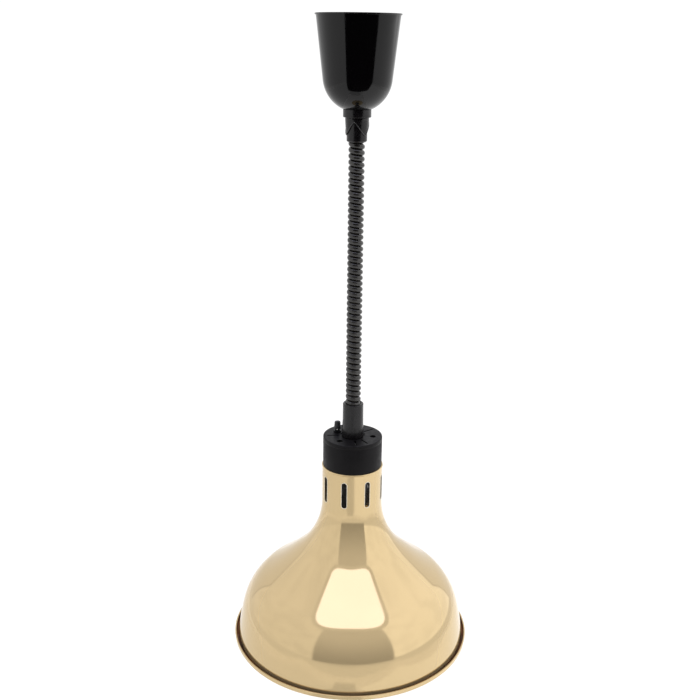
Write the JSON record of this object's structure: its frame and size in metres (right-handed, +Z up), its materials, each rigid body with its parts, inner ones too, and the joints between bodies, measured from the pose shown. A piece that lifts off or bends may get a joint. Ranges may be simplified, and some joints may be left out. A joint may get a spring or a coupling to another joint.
{
  "type": "heat lamp fixture",
  "caption": "Ceiling-hung food-warming heat lamp: a spun dome shade with a slotted neck and a toggle switch, on a rise-and-fall coiled cord under a round canopy.",
  "frame": {"origin": "middle of the ceiling bracket's two screw holes, on the ceiling plane, where the canopy's lip also rests", "axes": "+Z up along the lamp's own axis, so the lamp hangs towards -Z; -Y is the front; the bracket's holes lie along Y"},
  "size_m": [0.27, 0.27, 0.6883],
  "materials": {
    "zinc_steel": "satin zinc plate",
    "spring_steel": "blued",
    "rope_steel": "galvanised strand",
    "ferrule_aluminium": "plain",
    "drum_aluminium": "die cast, satin",
    "terminal_plastic": "satin",
    "canopy_black": "high gloss",
    "grip_black": "satin",
    "cap_black": "fine matt",
    "cord_black": "satin sheath",
    "core_insulation": "satin",
    "live_brown": "satin",
    "neutral_blue": "satin",
    "earth_green": "satin",
    "holder_ceramic": "satin glaze",
    "brass": "plain",
    "switch_plastic": "moulded",
    "bright_nickel": "bright nickel",
    "boot_rubber": "soft matt",
    "gold_shade": "polished, pale gold anodised",
    "insulator_glass": "vitrite black",
    "solder": "dull",
    "lamp_glass": "clear",
    "support_wire": "drawn",
    "tungsten": "drawn"
  },
  "bodies": {
    "ceiling_unit": {"ceiling_bracket": "zinc_steel", "reel_frame": "zinc_steel", "frame_screws": "zinc_steel", "reel_axle": "zinc_steel", "axle_clips": "zinc_steel", "mainspring": "spring_steel", "terminal_block": "terminal_plastic", "terminal_screws": "zinc_steel", "canopy": "canopy_black", "hanger_stem": "zinc_steel", "stem_nut": "zinc_steel", "grip_collar": "grip_black", "grip_sleeve": "grip_black", "grip_tube": "grip_black", "coiled_cord": "cord_black", "upper_cord_tail": "cord_black", "tail_cores": "core_insulation", "wire_rope": "rope_steel"},
    "reel": {"reel_drum": "drum_aluminium", "drum_cover": "drum_aluminium", "rope_winding": "rope_steel"},
    "lamp_head": {"lower_cord_tube": "grip_black", "anchor_washer": "zinc_steel", "rope_ferrule": "ferrule_aluminium", "top_cap": "cap_black", "cap_screws": "zinc_steel", "tube_nut": "zinc_steel", "holder_bracket": "zinc_steel", "holder_screws": "zinc_steel", "lampholder_body": "holder_ceramic", "lampholder_shell": "brass", "lampholder_contact": "brass", "shade_ring": "zinc_steel", "shade": "gold_shade", "switch_body": "switch_plastic", "switch_terminals": "brass", "switch_bushing": "bright_nickel", "switch_nut": "bright_nickel", "lower_cord_tail": "cord_black", "live_lead": "live_brown", "switched_lead": "core_insulation", "neutral_lead": "neutral_blue", "earth_lead": "earth_green"},
    "switch_handle": {"switch_lever": "bright_nickel", "switch_boot": "boot_rubber"},
    "lamp_base": {"lamp_cap": "bright_nickel", "lamp_insulator": "insulator_glass", "lamp_tip": "solder"},
    "lamp": {"lamp_envelope": "lamp_glass", "lamp_stem": "lamp_glass", "filament_supports": "support_wire", "filament": "tungsten"}
  },
  "joints": [
    {"name": "rise_and_fall", "type": "slide", "parent": "ceiling_unit", "child": "lamp_head", "axis": [0, 0, -1], "range_m": [0, 1.05], "deforming": ["coiled_cord", "wire_rope"]},
    {"name": "reel_spin", "type": "hinge", "parent": "ceiling_unit", "child": "reel", "pos_m": [-0.0135, 0, -0.042], "axis": [0, 1, 0], "range_deg": [0, 4459]},
    {"name": "switch_throw", "type": "hinge", "parent": "lamp_head", "child": "switch_handle", "pos_m": [-0.01708, 0.00833, -0.4406], "axis": [1, 0, 0], "range_deg": [0, 22]},
    {"name": "lamp_travel", "type": "slide", "parent": "lamp_head", "child": "lamp_base", "axis": [0, 0, -1], "range_m": [0, 0.0182]},
    {"name": "lamp_unscrew", "type": "hinge", "parent": "lamp_base", "child": "lamp", "pos_m": [0, 0, -0.5], "axis": [0, 0, -1], "range_deg": [0, 1800]}
  ],
  "couplings": [
    {"joint": "reel_spin", "follows": "rise_and_fall", "rad_per_m": 74.074},
    {"joint": "lamp_travel", "follows": "lamp_unscrew", "m_per_rad": 0.00057773}
  ]
}
